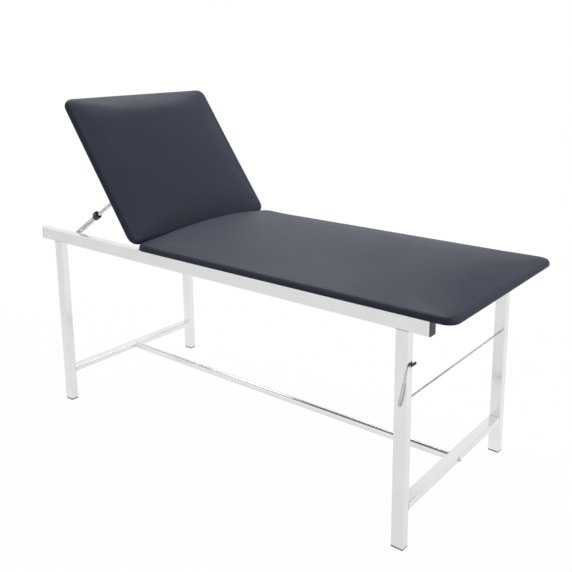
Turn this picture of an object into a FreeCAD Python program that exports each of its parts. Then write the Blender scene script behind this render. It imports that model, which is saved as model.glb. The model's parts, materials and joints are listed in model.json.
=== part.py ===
import FreeCAD, Part
import math
import os
import re

import Sketcher
from FreeCAD import Placement, Rotation, Vector

# Two-section examination couch, in millimetres.
# The origin is on the floor, under the middle of the couch.
# +X points to the foot end, -Y to the near side, +Z up.
# The model rests with its backrest raised.

os.makedirs("parts", exist_ok=True)
doc = FreeCAD.newDocument("ExaminationCouch")

DRIVING_SIZES = {
    # frame
    "rail_length": 1710,
    "rail_height": 45,
    "rail_width": 30,
    "frame_width": 690,
    "under_rail": 660,
    "leg_depth": 40,
    "leg_width": 30,
    "head_leg_inset": 72,
    "foot_leg_inset": 62,
    "tube_wall": 2,
    "tube_inner_radius": 1.5,
    "cap_flange": 3,
    "cap_plug": 18,
    "glide_flange": 6,
    "plug_gap": 0.3,
    "edge_break": 0.8,
    # low crossbars and the tube between them
    "crossbar_height": 20,
    "crossbar_level": 125,
    "stretcher_diameter": 26,
    "stretcher_wall": 1.5,
    "stretcher_plug": 25,
    "bolt_diameter": 8,
    "bolt_head": 15,
    "bolt_head_height": 5,
    "bolt_crown": 3.5,
    "bolt_key": 2.9,
    "bolt_reach": 20,
    "bolt_gap": 0.1,
    # cross tubes under the seat
    "cross_tube_depth": 30,
    "cross_tube_height": 20,
    "hinge_tube_offset": 15,
    "foot_tube_inset": 30,
    "seat_screw_spread": 420,
    # boards and pads
    "board_thickness": 15,
    "board_inset": 6,
    "board_corner": 30,
    "pad_edge": 31,
    "pad_crown": 26,
    "pad_side_overhang": 7.5,
    "pad_foot_overhang": 73,
    "pad_corner": 36,
    "edge_round": 14,
    "crown_share": 0.255,
    "seat_end_gap": 13,
    "back_end_gap": 10,
    "back_length": 615,
    "back_lift": 0.5,
    "hinge_from_head": 545,
    "back_angle": 54.5,
    # hinges
    "barrel_diameter": 16,
    "barrel_length": 40,
    "ear_thickness": 4,
    "hinge_rail_gap": 1,
    "hinge_arm_height": 16,
    "hinge_web_height": 14,
    "side_gap": 0.5,
    "running_gap": 0.08,
    "pin_diameter": 8,
    "pin_head": 13,
    "pin_head_height": 3,
    "leaf_length": 90,
    "leaf_thickness": 3,
    "leaf_first_screw": 31.5,
    "leaf_last_screw": 76.5,
    "leaf_screw_side": 12,
    "screw_diameter": 4,
    "screw_head": 8,
    "screw_head_height": 2,
    "screw_reach": 11,
    "screw_gap": 0.1,
    # struts
    "strut_reach": 401.4,
    "strut_drop": 20,
    "strut_pivot": 206.8,
    "strut_from_rail": 17,
    "strut_tube_diameter": 20,
    "strut_rod_diameter": 14,
    "strut_tube_length": 178,
    "strut_rod_end": 150,
    "notch_floor": 5.46,
    "strut_eye": 18,
    "strut_eye_width": 8,
    "strut_neck_length": 23.4,
    "strut_neck_height": 14.4,
    "notch_pitch": 24,
    "notch_width": 4,
    "tongue_length": 30,
    "tongue_width": 6,
    "tongue_height": 12,
    "tongue_eye": 16,
    "tongue_gap": 0.4,
    "clevis_ear": 3,
    "clevis_eye": 18,
    "clevis_foot": 56,
    "clevis_foot_width": 30,
    "clevis_screw_side": 10.8,
    "rivet_head": 11,
    "rivet_head_height": 2.5,
    "strut_plate": 3,
    "strut_plate_length": 48,
    "strut_plate_height": 34,
    "collar_diameter": 26,
    "collar_length": 18,
    "collar_lip": 4,
    "lever_width": 6.4,
    "lever_gap": 0.3,
    "lever_cheek": 2.6,
    "lever_thickness": 2.4,
    "lever_slope": 0.6,
    "lever_length": 30,
    "lever_top": 17.4,
    "lever_pivot": 3,
    # paper roll rod
    "roll_rod_diameter": 6,
    "roll_rod_level": 445,
    "roll_rod_bend": 7,
    "crank_length": 118,
    "crank_tip": 44,
    "sleeve_diameter": 8,
    "sleeve_length": 26,
    "roll_washer": 1.2,
    "roll_washer_diameter": 12,
    "rest_gap": 0.3,
}

sheet = doc.addObject("Spreadsheet::Sheet", "Sizes")
for row, (alias, size) in enumerate(DRIVING_SIZES.items(), start=1):
    sheet.set("A%d" % row, alias)
    sheet.set("B%d" % row, str(size))
    sheet.setAlias("B%d" % row, alias)
doc.recompute()

ALIAS = re.compile(r"\b(%s)\b" % "|".join(DRIVING_SIZES))


def linked(expression):
    """Point every size name in an expression at its cell."""
    return ALIAS.sub(r"Sizes.\1", str(expression))


def number(expression):
    """The present value of an expression of size names."""
    return float(sheet.evalExpression(ALIAS.sub(r"\1", str(expression))))


def bind(item, **expressions):
    for name, expression in expressions.items():
        item.setExpression(name, linked(expression))
    return item


def move(item, place):
    """Bind an object's place to three expressions."""
    for letter, expression in zip("xyz", place):
        item.setExpression("Placement.Base." + letter, linked(expression))
    return item


# places that many pieces share
RAIL_START = "(cap_flange - (rail_length + pad_foot_overhang + cap_flange) / 2)"
RAIL_END = "(%s + rail_length)" % RAIL_START
RAIL_TOP = "(under_rail + rail_height)"
RAIL_INNER = "(frame_width / 2 - rail_width)"
LEG_INNER = "(frame_width / 2 - leg_width)"
HEAD_LEG = "(%s + head_leg_inset)" % RAIL_START
FOOT_LEG = "(%s - foot_leg_inset - leg_depth)" % RAIL_END
HINGE = "(%s + hinge_from_head)" % RAIL_START
PAD_WIDTH = "(frame_width + 2 * pad_side_overhang)"
HINGE_TUBE = "(%s + hinge_tube_offset)" % HINGE
FOOT_TUBE = "(%s - foot_tube_inset - cross_tube_depth)" % RAIL_END
MIDDLE_TUBE = "((%s + %s) / 2)" % (HINGE_TUBE, FOOT_TUBE)
SEAT_START = "(%s + seat_end_gap)" % HINGE
SEAT_END = "(%s + pad_foot_overhang)" % RAIL_END
HINGE_SIDE = "(%s - hinge_rail_gap - ear_thickness - side_gap - barrel_length / 2)" % RAIL_INNER
STRUT_SIDE = "(%s - strut_from_rail)" % RAIL_INNER
CROSS_TUBES = {"hinge": HINGE_TUBE, "middle": MIDDLE_TUBE, "foot": FOOT_TUBE}
SIDES = {"near": -1, "far": 1}

ALONG = {
    "x": Rotation(Vector(0, 1, 0), 90),
    "y": Rotation(Vector(1, 0, 0), -90),
    "z": Rotation(),
}


def box(name, size, start):
    """A block of three sizes with its lowest corner at start."""
    item = doc.addObject("Part::Box", name)
    bind(item, Length=size[0], Width=size[1], Height=size[2])
    return move(item, start)


def rod(name, axis, diameter, length, start):
    """A cylinder along an axis, with the centre of its first end at start."""
    item = doc.addObject("Part::Cylinder", name)
    item.Placement = Placement(Vector(), ALONG[axis])
    bind(item, Radius="(%s) / 2" % diameter, Height=length)
    return move(item, start)


def joined(name, *shapes):
    item = doc.addObject("Part::MultiFuse", name)
    item.Shapes = list(shapes)
    item.Refine = True
    return item


def without(name, base, *tools):
    item = doc.addObject("Part::Cut", name)
    item.Base = base
    item.Tool = tools[0] if len(tools) == 1 else joined(name + "_tools", *tools)
    return item


def plane(body, role):
    return next(f for f in body.Origin.OriginFeatures if f.Role == role)


def sketch_on(body, role, name):
    sketch = body.newObject("Sketcher::SketchObject", name)
    sketch.AttachmentSupport = (plane(body, role), [""])
    sketch.MapMode = "FlatFace"
    return sketch


def rounded_rectangle(body, role, name, width, height, radius):
    """A centred rectangle with four equal corner arcs, fully constrained."""
    sketch = sketch_on(body, role, name)
    w, h, r = number(width) / 2, number(height) / 2, number(radius)
    ends = [
        ((-w + r, -h), (w - r, -h)),
        ((w, -h + r), (w, h - r)),
        ((w - r, h), (-w + r, h)),
        ((-w, h - r), (-w, -h + r)),
    ]
    for first, last in ends:
        sketch.addGeometry(Part.LineSegment(Vector(*first, 0), Vector(*last, 0)))
    centres = [(w - r, -h + r), (w - r, h - r), (-w + r, h - r), (-w + r, -h + r)]
    for turn, centre in enumerate(centres):
        circle = Part.Circle(Vector(*centre, 0), Vector(0, 0, 1), r)
        start = (turn - 1) * math.pi / 2
        sketch.addGeometry(Part.ArcOfCircle(circle, start, start + math.pi / 2))
    for side in range(4):
        corner = 4 + side
        sketch.addConstraint(Sketcher.Constraint("Tangent", side, 2, corner, 1))
        sketch.addConstraint(Sketcher.Constraint("Tangent", corner, 2, (side + 1) % 4, 1))
    for side in (0, 2):
        sketch.addConstraint(Sketcher.Constraint("Horizontal", side))
        sketch.addConstraint(Sketcher.Constraint("Vertical", side + 1))
    for corner in (5, 6, 7):
        sketch.addConstraint(Sketcher.Constraint("Equal", 4, corner))
    sketch.addConstraint(Sketcher.Constraint("Symmetric", 0, 1, 2, 1, -1, 1))
    sizes = [
        ("width", Sketcher.Constraint("DistanceX", 3, 1, 1, 1, 2 * w), width),
        ("height", Sketcher.Constraint("DistanceY", 0, 1, 2, 1, 2 * h), height),
        ("corner", Sketcher.Constraint("Radius", 4, r), radius),
    ]
    for label, constraint, expression in sizes:
        index = sketch.addConstraint(constraint)
        sketch.renameConstraint(index, label)
        sketch.setExpression("Constraints." + label, linked(expression))
    return sketch


def ring(body, role, name, *diameters):
    """Concentric circles about the origin."""
    sketch = sketch_on(body, role, name)
    for index, diameter in enumerate(diameters):
        sketch.addGeometry(Part.Circle(Vector(), Vector(0, 0, 1), number(diameter) / 2))
        sketch.addConstraint(Sketcher.Constraint("Coincident", index, 3, -1, 1))
        size = sketch.addConstraint(Sketcher.Constraint("Diameter", index, number(diameter)))
        sketch.setExpression("Constraints[%d]" % size, linked(diameter))
    return sketch


def pad(body, sketch, length, backwards=False):
    feature = body.newObject("PartDesign::Pad", sketch.Name + "_pad")
    feature.Profile = sketch
    feature.Reversed = backwards
    sketch.Visibility = False
    return bind(feature, Length=length)


def pocket(body, sketch, backwards=False):
    feature = body.newObject("PartDesign::Pocket", sketch.Name + "_pocket")
    feature.Profile = sketch
    feature.Type = "ThroughAll"
    feature.Reversed = backwards
    return feature


# the sketch plane across each axis, and whether a pad must be reversed to run along it
ACROSS = {"x": ("YZ_Plane", False), "y": ("XZ_Plane", True), "z": ("XY_Plane", False)}


def square_tube(name, axis, width, height, length, start):
    """A hollow section: a rounded rectangle padded along the axis, then bored through."""
    role, backwards = ACROSS[axis]
    body = doc.addObject("PartDesign::Body", name)
    outer = rounded_rectangle(body, role, name + "_outer", width, height,
                              "tube_inner_radius + tube_wall")
    pad(body, outer, length, backwards)
    inner = rounded_rectangle(body, role, name + "_inner", "(%s) - 2 * tube_wall" % width,
                              "(%s) - 2 * tube_wall" % height, "tube_inner_radius")
    pocket(body, inner, not backwards)
    return move(body, start)


def tube_plug(name, axis, width, height, flange, start, inward):
    """An end plug: a flange the size of the tube and a stub that fits inside it."""
    role, backwards = ACROSS[axis]
    body = doc.addObject("PartDesign::Body", name)
    plate = rounded_rectangle(body, role, name + "_plate", width, height,
                              "tube_inner_radius + tube_wall")
    pad(body, plate, flange, backwards if inward < 0 else not backwards)
    fit = "2 * tube_wall + 2 * plug_gap"
    stub = rounded_rectangle(body, role, name + "_stub", "(%s) - (%s)" % (width, fit),
                             "(%s) - (%s)" % (height, fit), "tube_inner_radius")
    whole = pad(body, stub, "cap_plug", not backwards if inward < 0 else backwards)
    doc.recompute()
    outside = Vector(*[float(axis == letter) for letter in "xyz"]) * -inward
    rim = body.newObject("PartDesign::Chamfer", name + "_rim")
    rim.Base = (whole, rim_edges(whole.Shape, outside))
    bind(rim, Size="edge_break")
    return move(body, start)


def rim_edges(shape, outside):
    """Names of the edges round the face that lies furthest out."""
    reach = max(vertex.Point.dot(outside) for vertex in shape.Vertexes)
    return [
        "Edge%d" % index
        for index, edge in enumerate(shape.Edges, start=1)
        if all(abs(vertex.Point.dot(outside) - reach) < 1e-6 for vertex in edge.Vertexes)
    ]


finished = []


def finish(item, label, turn=None):
    """Name a sub-part and give it its final turn about the given place."""
    item.Label = label
    if turn is not None:
        item.Placement = turn.multiply(item.Placement)
    finished.append(item)
    return item


def turned_about(x, z, degrees):
    """Turn about a line along Y through the point, after moving the local origin there."""
    return Placement(Vector(x, 0, z), Rotation(Vector(0, 1, 0), degrees))


# frame

def make_rails():
    for side, sign in SIDES.items():
        middle = "%d * (frame_width - rail_width) / 2" % sign
        centre = (RAIL_START, middle, "under_rail + rail_height / 2")
        rail = square_tube(side + "_rail_body", "x", "rail_width", "rail_height",
                           "rail_length", centre)
        finish(rail, side + "_rail")
        for end, place, inward in (("head", RAIL_START, 1), ("foot", RAIL_END, -1)):
            name = "%s_%s_rail_cap" % (side, end)
            cap = tube_plug(name + "_body", "x", "rail_width", "rail_height", "cap_flange",
                            (place, middle, centre[2]), inward)
            finish(cap, name)


def make_legs():
    for side, sign in SIDES.items():
        middle = "%d * (frame_width - leg_width) / 2" % sign
        for end, start in (("head", HEAD_LEG), ("foot", FOOT_LEG)):
            name = "%s_%s_leg" % (side, end)
            centre = "%s + leg_depth / 2" % start
            leg = square_tube(name + "_body", "z", "leg_depth", "leg_width",
                              "under_rail - glide_flange", (centre, middle, "glide_flange"))
            if end == "foot":
                leg = without(name + "_bored", leg, roll_rod_hole(side, sign))
            finish(leg, name)
            glide = tube_plug("%s_%s_glide_body" % (side, end), "z", "leg_depth", "leg_width",
                              "glide_flange", (centre, middle, "glide_flange"), 1)
            finish(glide, "%s_%s_glide" % (side, end))


def roll_rod_hole(side, sign):
    """The near leg is drilled right through, the far leg only in its inner wall."""
    depth = "leg_width + 2" if side == "near" else "leg_width / 2"
    start = "%d * (frame_width / 2 + 1)" % sign if side == "near" else LEG_INNER + " - 1"
    return rod(side + "_roll_hole", "y", "roll_rod_diameter + 2 * running_gap", depth,
               (FOOT_LEG + " + leg_depth / 2", start, "roll_rod_level"))


def make_crossbars():
    low = "crossbar_level"
    for end, start, outward in (("head", HEAD_LEG, -1), ("foot", FOOT_LEG, 1)):
        centre = "%s + leg_depth / 2" % start
        bar = square_tube(end + "_crossbar_body", "y", "leg_depth", "crossbar_height",
                          "2 * " + LEG_INNER, (centre, "-" + LEG_INNER, low))
        hole = rod(end + "_crossbar_hole", "x", "bolt_diameter + 2 * bolt_gap",
                   "leg_depth + 2", (start + " - 1", 0, low))
        finish(without(end + "_crossbar_bored", bar, hole), end + "_crossbar")

        outer_face = start if outward < 0 else start + " + leg_depth"
        inner_face = start + " + leg_depth" if outward < 0 else start
        make_stretcher_end(end, outer_face, inner_face, outward)
    inside = HEAD_LEG + " + leg_depth"
    body = doc.addObject("PartDesign::Body", "centre_tube_body")
    section = ring(body, "YZ_Plane", "centre_tube_section", "stretcher_diameter",
                   "stretcher_diameter - 2 * stretcher_wall")
    pad(body, section, "%s - (%s)" % (FOOT_LEG, inside))
    finish(move(body, (inside, 0, low)), "centre_tube")


def make_stretcher_end(end, outer_face, inner_face, outward):
    """The threaded insert in the tube's end, and the bolt that pulls it to the crossbar."""
    low = "crossbar_level"
    inset = "(%s)" % inner_face if outward < 0 else "(%s) - stretcher_plug" % inner_face
    core = rod(end + "_insert_core", "x",
               "stretcher_diameter - 2 * stretcher_wall - 2 * bolt_gap",
               "stretcher_plug", (inset, 0, low))
    thread = rod(end + "_insert_thread", "x", "bolt_diameter + 2 * bolt_gap",
                 "stretcher_plug + 2", (inset + " - 1", 0, low))
    finish(without(end + "_insert", core, thread), end + "_tube_insert")

    head_start = "(%s) - bolt_head_height" % outer_face if outward < 0 else outer_face
    head = rod(end + "_bolt_head", "x", "bolt_head", "bolt_head_height", (head_start, 0, low))
    doc.recompute()
    crown = doc.addObject("Part::Fillet", end + "_bolt_crown")
    crown.Base = head
    rim = rim_edges(head.Shape, Vector(outward, 0, 0))
    radius = number("bolt_crown")
    crown.Edges = [(int(edge[4:]), radius, radius) for edge in rim if is_round(head, edge)]
    key = doc.addObject("Part::Prism", end + "_bolt_key")
    key.Polygon = 6
    key.Placement = Placement(Vector(), ALONG["x"])
    bind(key, Circumradius="bolt_key", Height="bolt_head_height")
    key_start = "(%s) - bolt_head_height * 1.5" if outward < 0 else "(%s) + bolt_head_height * 0.5"
    move(key, (key_start % outer_face, 0, low))
    reach = "leg_depth + bolt_reach"
    shank_start = outer_face if outward < 0 else "(%s) - (%s)" % (outer_face, reach)
    shank = rod(end + "_bolt_shank", "x", "bolt_diameter", reach, (shank_start, 0, low))
    bolt = joined(end + "_bolt_whole", without(end + "_bolt_top", crown, key), shank)
    finish(bolt, end + "_tube_bolt")


def is_round(item, edge):
    return hasattr(item.Shape.getElement(edge).Curve, "Radius")


def seat_screw_places():
    for name, start in CROSS_TUBES.items():
        for sign in SIDES.values():
            yield name, start + " + cross_tube_depth / 2", "%d * seat_screw_spread / 2" % sign


def make_cross_tubes():
    base = RAIL_TOP + " - cross_tube_height"
    for name, start in CROSS_TUBES.items():
        tube = square_tube(name + "_cross_tube_body", "y", "cross_tube_depth",
                           "cross_tube_height", "2 * " + RAIL_INNER,
                           (start + " + cross_tube_depth / 2", "-" + RAIL_INNER,
                            RAIL_TOP + " - cross_tube_height / 2"))
        holes = [
            rod("%s_screw_hole_%d" % (name, index), "z", "screw_diameter + 2 * screw_gap",
                "cross_tube_height + 2", (x, y, base + " - 1"))
            for index, (owner, x, y) in enumerate(seat_screw_places())
            if owner == name
        ]
        finish(without(name + "_cross_tube_bored", tube, *holes), name + "_cross_tube")
    screws = []
    for index, (_, x, y) in enumerate(seat_screw_places()):
        name = "seat_screw_%d" % index
        head = rod(name + "_head", "z", "screw_head", "screw_head_height",
                   (x, y, base + " - screw_head_height"))
        shank = rod(name + "_shank", "z", "screw_diameter", "cross_tube_height + screw_reach",
                    (x, y, base))
        screws.append(joined(name, head, shank))
    finish(compound("seat_screw_set", screws), "seat_screws")


def compound(name, items):
    item = doc.addObject("Part::Compound", name)
    item.Links = items
    return item


# boards and pads

def board(name, length, start, holes):
    """A plywood sheet with rounded corners and pilot holes, built from its lower face."""
    body = doc.addObject("PartDesign::Body", name + "_sheet")
    outline = rounded_rectangle(body, "XY_Plane", name + "_outline", length,
                                PAD_WIDTH + " - 2 * board_inset", "board_corner")
    pad(body, outline, "board_thickness")
    move(body, start)
    tools = [
        rod("%s_pilot_%d" % (name, index), "z", "screw_diameter + 2 * screw_gap",
            "screw_reach + 3", (x, y, start[2] + " - 1"))
        for index, (x, y) in enumerate(holes)
    ]
    return without(name + "_drilled", body, *tools)


def rounded_wire(length, width, radius, height):
    """A level rounded rectangle about the Z axis."""
    x, y = length / 2, width / 2
    edges = []
    for turn in range(4):
        quarter = Rotation(Vector(0, 0, 1), 90 * turn)
        a, b = (x, y) if turn % 2 == 0 else (y, x)
        lift = Vector(0, 0, height)
        side = [Vector(a, radius - b, 0), Vector(a, b - radius, 0)]
        centre = Vector(a - radius, b - radius, 0)
        middle = centre + Vector(1, 1, 0).normalize() * radius
        arc = [side[1], middle, Vector(a - radius, b, 0)]
        side = [quarter.multVec(point) + lift for point in side]
        arc = [quarter.multVec(point) + lift for point in arc]
        edges.append(Part.LineSegment(*side).toShape())
        edges.append(Part.Arc(*arc).toShape())
    return Part.Wire(edges)


def crowned_block(length, width):
    """A cushion form that stands on Z = 0, centred on the Z axis.

    Its side is upright, its rim a quarter round, and from there its top rises by
    crown * (1 - (1 - t)^2) while t runs from 0 at the rim to 1 at the crown's flat middle,
    a share of the shorter side further in.
    """
    edge = number("pad_edge")
    crown = number("pad_crown")
    corner = number("pad_corner")
    rounding = number("edge_round")
    run = number("crown_share") * min(length, width)
    sections = [(0, edge - rounding)]
    for degrees in (30, 60):
        angle = math.radians(degrees)
        sections.append((rounding * (1 - math.cos(angle)),
                         edge - rounding * (1 - math.sin(angle))))
    for share in (0, 0.3, 0.65, 1):
        sections.append((rounding + run * share, edge + crown * (1 - (1 - share) ** 2)))
    wires = [
        rounded_wire(length - 2 * inset, width - 2 * inset, corner + inset * 0.3, height)
        for inset, height in sections
    ]
    side = Part.Face(rounded_wire(length, width, corner, 0)).extrude(
        Vector(0, 0, edge - rounding))
    return side.fuse(Part.makeLoft(wires, True, True))


def cushion(name, length, middle, base, turn=None):
    """Foam and cover as one solid, hollowed from below for the board it is stapled to."""
    size = number(length)
    width = number(PAD_WIDTH)
    rim = number("board_inset - rest_gap")
    recess = Part.makeBox(size - 2 * rim, width - 2 * rim, number("board_thickness + 1"),
                          Vector(rim - size / 2, rim - width / 2, -1))
    item = doc.addObject("Part::Feature", name + "_shape")
    item.Shape = crowned_block(size, width).cut(recess)
    item.Placement = Placement(Vector(number(middle), 0, number(base)), Rotation())
    finish(item, name + "_pad", turn)


def make_seat():
    length = "(%s - %s)" % (SEAT_END, SEAT_START)
    middle = "((%s + %s) / 2)" % (SEAT_END, SEAT_START)
    holes = [(x, y) for _, x, y in seat_screw_places()]
    sheet_board = board("seat_board", length + " - 2 * board_inset", (middle, 0, RAIL_TOP), holes)
    finish(sheet_board, "seat_board")
    cushion("seat", length, middle, RAIL_TOP)


def leaf_screws():
    """Screw places of one hinge leaf and one strut foot, in the flat backrest's own frame."""
    for sign in SIDES.values():
        for along in ("leaf_first_screw", "leaf_last_screw"):
            for across in (-1, 1):
                yield ("-" + along,
                       "%d * %s + %d * leaf_screw_side" % (sign, HINGE_SIDE, across))
        for along in ("strut_pivot", "strut_pivot - clevis_foot + clevis_eye / 2 + screw_head"):
            for across in (-1, 1):
                yield ("-(%s)" % along,
                       "%d * %s + %d * clevis_screw_side" % (sign, STRUT_SIDE, across))


def make_back():
    turn = back_turn()
    length = "(back_length - back_end_gap)"
    middle = "(-(back_length + back_end_gap) / 2)"
    plain = board("back_board", length + " - 2 * board_inset", (middle, 0, "back_lift"),
                  list(leaf_screws()))
    finish(plain, "back_board", turn)
    cushion("back", length, middle, "back_lift", turn)
    screws = []
    for index, (x, y) in enumerate(leaf_screws()):
        name = "back_screw_%d" % index
        face = "back_lift - leaf_thickness"
        head = rod(name + "_head", "z", "screw_head", "screw_head_height",
                   (x, y, face + " - screw_head_height"))
        shank = rod(name + "_shank", "z", "screw_diameter", "leaf_thickness + screw_reach",
                    (x, y, face))
        screws.append(joined(name, head, shank))
    finish(compound("back_screw_set", screws), "back_bracket_screws", turn)


def back_turn():
    """From the flat backrest's own frame, on the hinge line, to the raised position."""
    return turned_about(number(HINGE), number(RAIL_TOP), number("back_angle"))


# hinges

def make_hinges():
    for side, sign in SIDES.items():
        make_hinge_bracket(side, "%d * %s" % (sign, HINGE_SIDE))
        make_hinge_leaf(side, "%d * %s" % (sign, HINGE_SIDE))
        make_hinge_pin(side, sign)


def make_hinge_bracket(side, middle):
    """Two ears and a web, welded to the first cross tube."""
    name = side + "_hinge_bracket"
    span = "(barrel_length + 2 * side_gap + 2 * ear_thickness)"
    low = RAIL_TOP + " - hinge_arm_height"
    pieces = []
    for index, outer in enumerate(("-%s / 2" % span, "%s / 2 - ear_thickness" % span)):
        start = "%s + %s" % (middle, outer)
        eye = rod("%s_eye_%d" % (name, index), "y", "barrel_diameter", "ear_thickness",
                  (HINGE, start, RAIL_TOP))
        arm = box("%s_arm_%d" % (name, index),
                  ("hinge_tube_offset", "ear_thickness", "hinge_arm_height"),
                  (HINGE, start, low))
        pieces += [eye, arm]
    web = box(name + "_web", ("ear_thickness", span, "hinge_web_height"),
              (HINGE_TUBE + " - ear_thickness", "%s - %s / 2" % (middle, span), low))
    bore = rod(name + "_bore", "y", "pin_diameter + 2 * running_gap", span + " + 2",
               (HINGE, "%s - %s / 2 - 1" % (middle, span), RAIL_TOP))
    finish(without(name, joined(name + "_body", *pieces, web), bore), name)


def make_hinge_leaf(side, middle):
    """A plate under the board, rolled round the pin at its end."""
    name = side + "_hinge_leaf"
    start = middle + " - barrel_length / 2"
    barrel = rod(name + "_barrel", "y", "barrel_diameter", "barrel_length", (0, start, 0))
    plate = box(name + "_plate", ("leaf_length - pin_diameter * 0.7", "barrel_length",
                                  "leaf_thickness"),
                ("-leaf_length", start, "back_lift - leaf_thickness"))
    bore = rod(name + "_bore", "y", "pin_diameter + 2 * running_gap", "barrel_length + 2",
               (0, start + " - 1", 0))
    holes = plate_holes(name, [p for p in leaf_screws() if belongs(p, middle, "barrel_length")
                               and abs(number(p[0])) < number("leaf_length")])
    finish(without(name, joined(name + "_body", barrel, plate), bore, *holes), name, back_turn())


def belongs(place, middle, width):
    return abs(number(place[1]) - number(middle)) < number(width) / 2


def plate_holes(name, places):
    return [
        rod("%s_hole_%d" % (name, index), "z", "screw_diameter + 2 * screw_gap",
            "leaf_thickness + 2", (x, y, "back_lift - leaf_thickness - 1"))
        for index, (x, y) in enumerate(places)
    ]


def make_hinge_pin(side, sign):
    """A headed pin, put in from the middle of the couch."""
    name = side + "_hinge_pin"
    half = "(barrel_length / 2 + side_gap + ear_thickness)"
    middle = "%d * %s" % (sign, HINGE_SIDE)
    shank = rod(name + "_shank", "y", "pin_diameter", "2 * " + half,
                (HINGE, "%s - %s" % (middle, half), RAIL_TOP))
    inner = "%s + %s" % (middle, half) if sign < 0 else "%s - %s - pin_head_height" % (middle, half)
    head = rod(name + "_head", "y", "pin_head", "pin_head_height", (HINGE, inner, RAIL_TOP))
    finish(joined(name, shank, head), name)


# struts

def strut_line():
    """Length of the raised strut and its slope in degrees, from its two pivots."""
    angle = math.radians(number("back_angle"))
    pivot = number("strut_pivot")
    drop = number("strut_drop")
    top_x = -pivot * math.cos(angle) - drop * math.sin(angle)
    top_z = pivot * math.sin(angle) - drop * math.cos(angle)
    run = top_x + number("strut_reach")
    rise = top_z + drop
    return math.hypot(run, rise), math.degrees(math.atan2(rise, run))


def strut_turn():
    """From the strut's own frame, on its lower pivot, to its place in the raised couch."""
    slope = strut_line()[1]
    return turned_about(number(HINGE) - number("strut_reach"),
                        number(RAIL_TOP) - number("strut_drop"), -slope)


def make_struts():
    for side, sign in SIDES.items():
        middle = "%d * %s" % (sign, STRUT_SIDE)
        make_strut_foot(side, sign, middle)
        make_strut_tube(side, middle)
        make_strut_collar(side, middle)
        make_strut_rod(side, middle)
        make_strut_clevis(side, middle)


def make_strut_foot(side, sign, middle):
    """A plate on the rail's inner face with a boss, and the pin that carries the strut."""
    x = "(%s - strut_reach)" % HINGE
    z = "(%s - strut_drop)" % RAIL_TOP
    seat = "(%s + %d * (strut_eye_width / 2 + side_gap))" % (middle, sign)
    wall = "%d * %s" % (sign, RAIL_INNER)
    plate_start = wall if sign < 0 else wall + " - strut_plate"
    name = side + "_strut_bracket"
    plate = box(name + "_plate", ("strut_plate_length", "strut_plate", "strut_plate_height"),
                (x + " - strut_plate_length / 2", plate_start,
                 z + " - strut_plate_height / 2"))
    boss_length = "(strut_from_rail - strut_eye_width / 2 - side_gap)"
    boss_start = wall if sign < 0 else seat
    boss = rod(name + "_boss", "y", "barrel_diameter", boss_length, (x, boss_start, z))
    bore = rod(name + "_bore", "y", "pin_diameter + 2 * running_gap", boss_length + " + 2",
               (x, boss_start + " - 1", z))
    finish(without(name, joined(name + "_body", plate, boss), bore), name)

    name = side + "_strut_pin"
    reach = "(strut_from_rail + strut_eye_width / 2 + side_gap - rest_gap)"
    start = "%s + rest_gap" % wall if sign < 0 else "%s - %s - rest_gap" % (wall, reach)
    shank = rod(name + "_shank", "y", "pin_diameter", reach, (x, start, z))
    head_start = "%s + %s" % (start, reach) if sign < 0 else start + " - pin_head_height"
    head = rod(name + "_head", "y", "pin_head", "pin_head_height", (x, head_start, z))
    finish(joined(name, shank, head), name)


def make_strut_tube(side, middle):
    """The outer tube with a flattened eye at its foot and index slots along its upper side."""
    name = side + "_strut_tube"
    start = middle + " - strut_eye_width / 2"
    eye = rod(name + "_eye", "y", "strut_eye", "strut_eye_width", (0, start, 0))
    neck = box(name + "_neck", ("strut_neck_length", "strut_eye_width", "strut_neck_height"),
               (0, start, "-strut_neck_height / 2"))
    shell = rod(name + "_shell", "x", "strut_tube_diameter", "strut_tube_length - strut_eye",
                ("strut_eye", middle, 0))
    bore = rod(name + "_bore", "x", "strut_rod_diameter + 2 * running_gap",
               "strut_tube_length", ("strut_neck_length", middle, 0))
    pivot = rod(name + "_pivot", "y", "pin_diameter + 2 * running_gap",
                "strut_eye_width + 2", (0, start + " - 1", 0))
    slots = [
        rod("%s_slot_%d" % (name, index), "z", "notch_width", "strut_tube_diameter",
            ("strut_neck_length + notch_pitch * %g" % (index + 0.5), middle, 0))
        for index in range(5)
    ]
    whole = joined(name + "_body", eye, neck, shell)
    finish(without(name, whole, bore, pivot, *slots), name, strut_turn())


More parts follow.
